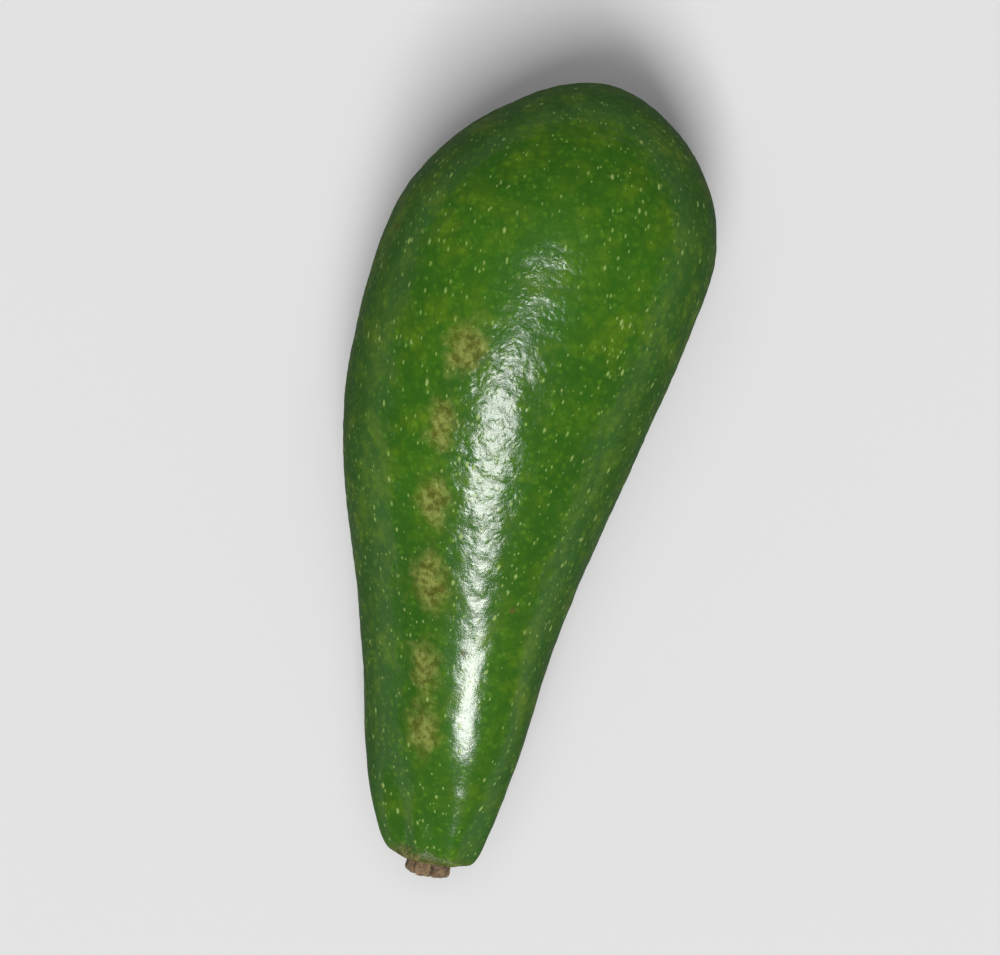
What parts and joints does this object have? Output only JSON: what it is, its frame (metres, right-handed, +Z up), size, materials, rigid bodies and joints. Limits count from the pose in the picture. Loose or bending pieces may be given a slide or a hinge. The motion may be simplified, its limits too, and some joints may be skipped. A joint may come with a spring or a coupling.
{
  "type": "avocado",
  "caption": "Whole long-necked green avocado lying on its side: a plump blossom end, a slender neck and a woody stem button in its tip.",
  "frame": {"origin": "on the surface that the fruit rests on, under the middle of the whole object's box", "axes": "+Y along the fruit from its stem end to its blossom end, +Z up, +X to the right seen from above with the blossom end away from the viewer"},
  "size_m": [0.0512, 0.1214, 0.049],
  "materials": {
    "skin": "satin",
    "stem_wood": "matte"
  },
  "bodies": {
    "root": {"fruit": "skin", "stem_button": "stem_wood"}
  },
  "joints": []
}
